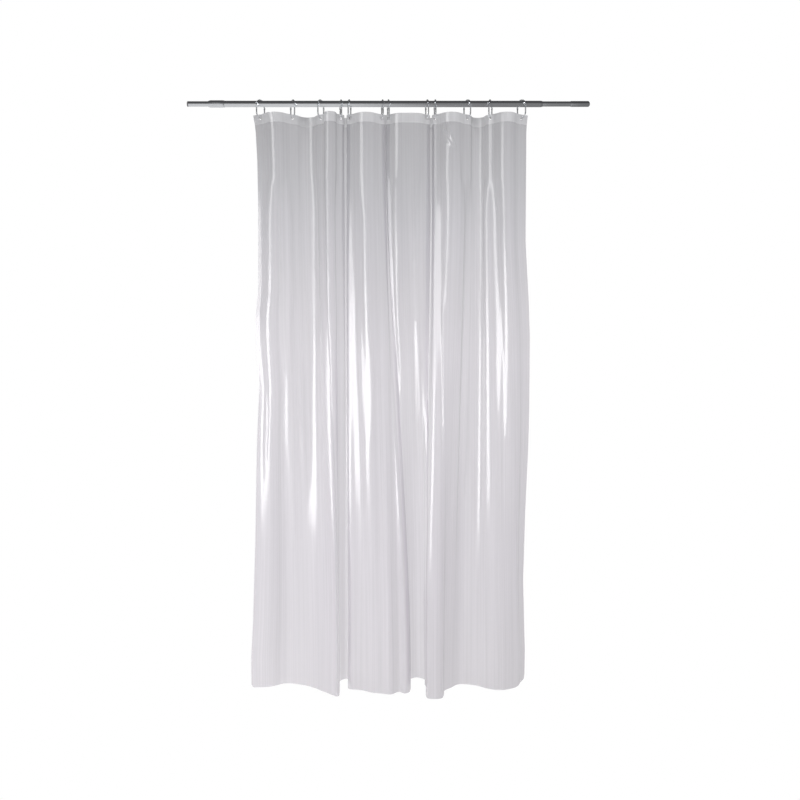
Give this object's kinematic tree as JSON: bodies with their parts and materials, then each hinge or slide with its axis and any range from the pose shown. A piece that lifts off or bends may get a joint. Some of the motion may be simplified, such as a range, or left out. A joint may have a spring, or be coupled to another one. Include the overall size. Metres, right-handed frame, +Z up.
{
  "type": "shower curtain with rod",
  "caption": "Clear plastic film shower curtain, gathered in hanging folds on snap rings along a telescopic spring-loaded steel rod.",
  "frame": {"origin": "centre of the left wall pad's flat face, on the rod's axis", "axes": "+X along the rod to the right, +Z up, -Y towards the room and the viewer"},
  "size_m": [1.395, 0.1891, 2.0524],
  "materials": {
    "stainless_tube": "satin polished",
    "stainless_fitting": "satin",
    "spring_steel": "drawn wire",
    "nylon": "moulded",
    "rubber": "moulded",
    "clear_plastic": "clear moulded",
    "clear_film": "glossy translucent film",
    "header_film": "glossy translucent film"
  },
  "bodies": {
    "left_end": {"left_wall_pad": "rubber", "left_inner_tube": "stainless_tube", "left_guide_bush": "nylon"},
    "lock_collar": {"lock_collar": "stainless_tube"},
    "main_tube": {"outer_tube": "stainless_tube", "lock_collet": "nylon", "spring_stop": "nylon", "tube_reducer": "stainless_fitting", "tension_spring": "spring_steel"},
    "right_end": {"right_inner_tube": "stainless_tube", "right_spring_plug": "nylon", "right_end_cap": "stainless_fitting", "right_wall_pad": "rubber"},
    "curtain": {"curtain_film": "clear_film", "header_band": "header_film", "ring_01": "clear_plastic"},
    "ring_02": {"ring_02": "clear_plastic"},
    "ring_03": {"ring_03": "clear_plastic"},
    "ring_04": {"ring_04": "clear_plastic"},
    "ring_05": {"ring_05": "clear_plastic"},
    "ring_06": {"ring_06": "clear_plastic"},
    "ring_07": {"ring_07": "clear_plastic"},
    "ring_08": {"ring_08": "clear_plastic"},
    "ring_09": {"ring_09": "clear_plastic"},
    "ring_10": {"ring_10": "clear_plastic"},
    "ring_11": {"ring_11": "clear_plastic"},
    "ring_12": {"ring_12": "clear_plastic"}
  },
  "joints": [
    {"name": "rod_telescope", "type": "slide", "parent": "left_end", "child": "main_tube", "axis": [1, 0, 0], "range_m": [-0.055, 0.35]},
    {"name": "lock_twist", "type": "hinge", "parent": "main_tube", "child": "lock_collar", "pos_m": [0.1, 0, 0], "axis": [1, 0, 0], "range_deg": [0, 120]},
    {"name": "right_tension", "type": "slide", "parent": "main_tube", "child": "right_end", "axis": [1, 0, 0], "range_m": [-0.035, 0], "stiffness_N_per_m": 1500, "springref_m": 0.02, "deforming": ["tension_spring"]},
    {"name": "curtain_swing", "type": "hinge", "parent": "main_tube", "child": "curtain", "pos_m": [0, 0, 0], "axis": [1, 0, 0], "range_deg": [-15, 15]},
    {"name": "ring_02_slide", "type": "slide", "parent": "curtain", "child": "ring_02", "axis": [1, 0, 0], "range_m": [-0.06177, 0]},
    {"name": "ring_03_slide", "type": "slide", "parent": "curtain", "child": "ring_03", "axis": [1, 0, 0], "range_m": [-0.11539, 0]},
    {"name": "ring_04_slide", "type": "slide", "parent": "curtain", "child": "ring_04", "axis": [1, 0, 0], "range_m": [-0.15371, 0]},
    {"name": "ring_05_slide", "type": "slide", "parent": "curtain", "child": "ring_05", "axis": [1, 0, 0], "range_m": [-0.17014, 0]},
    {"name": "ring_06_slide", "type": "slide", "parent": "curtain", "child": "ring_06", "axis": [1, 0, 0], "range_m": [-0.23306, 0]},
    {"name": "ring_07_slide", "type": "slide", "parent": "curtain", "child": "ring_07", "axis": [1, 0, 0], "range_m": [-0.24435, 0]},
    {"name": "ring_08_slide", "type": "slide", "parent": "curtain", "child": "ring_08", "axis": [1, 0, 0], "range_m": [-0.31822, 0]},
    {"name": "ring_09_slide", "type": "slide", "parent": "curtain", "child": "ring_09", "axis": [1, 0, 0], "range_m": [-0.33352, 0]},
    {"name": "ring_10_slide", "type": "slide", "parent": "curtain", "child": "ring_10", "axis": [1, 0, 0], "range_m": [-0.39478, 0]},
    {"name": "ring_11_slide", "type": "slide", "parent": "curtain", "child": "ring_11", "axis": [1, 0, 0], "range_m": [-0.43884, 0]},
    {"name": "curtain_draw", "type": "slide", "parent": "curtain", "child": "ring_12", "axis": [1, 0, 0], "range_m": [-0.4977, 0], "deforming": ["curtain_film", "header_band"]}
  ],
  "couplings": [
    {"joint": "ring_02_slide", "follows": "curtain_draw", "ratio": 0.1231},
    {"joint": "ring_03_slide", "follows": "curtain_draw", "ratio": 0.23084},
    {"joint": "ring_04_slide", "follows": "curtain_draw", "ratio": 0.30784},
    {"joint": "ring_05_slide", "follows": "curtain_draw", "ratio": 0.34084},
    {"joint": "ring_06_slide", "follows": "curtain_draw", "ratio": 0.46726},
    {"joint": "ring_07_slide", "follows": "curtain_draw", "ratio": 0.48996},
    {"joint": "ring_08_slide", "follows": "curtain_draw", "ratio": 0.63838},
    {"joint": "ring_09_slide", "follows": "curtain_draw", "ratio": 0.66911},
    {"joint": "ring_10_slide", "follows": "curtain_draw", "ratio": 0.79221},
    {"joint": "ring_11_slide", "follows": "curtain_draw", "ratio": 0.88074}
  ]
}
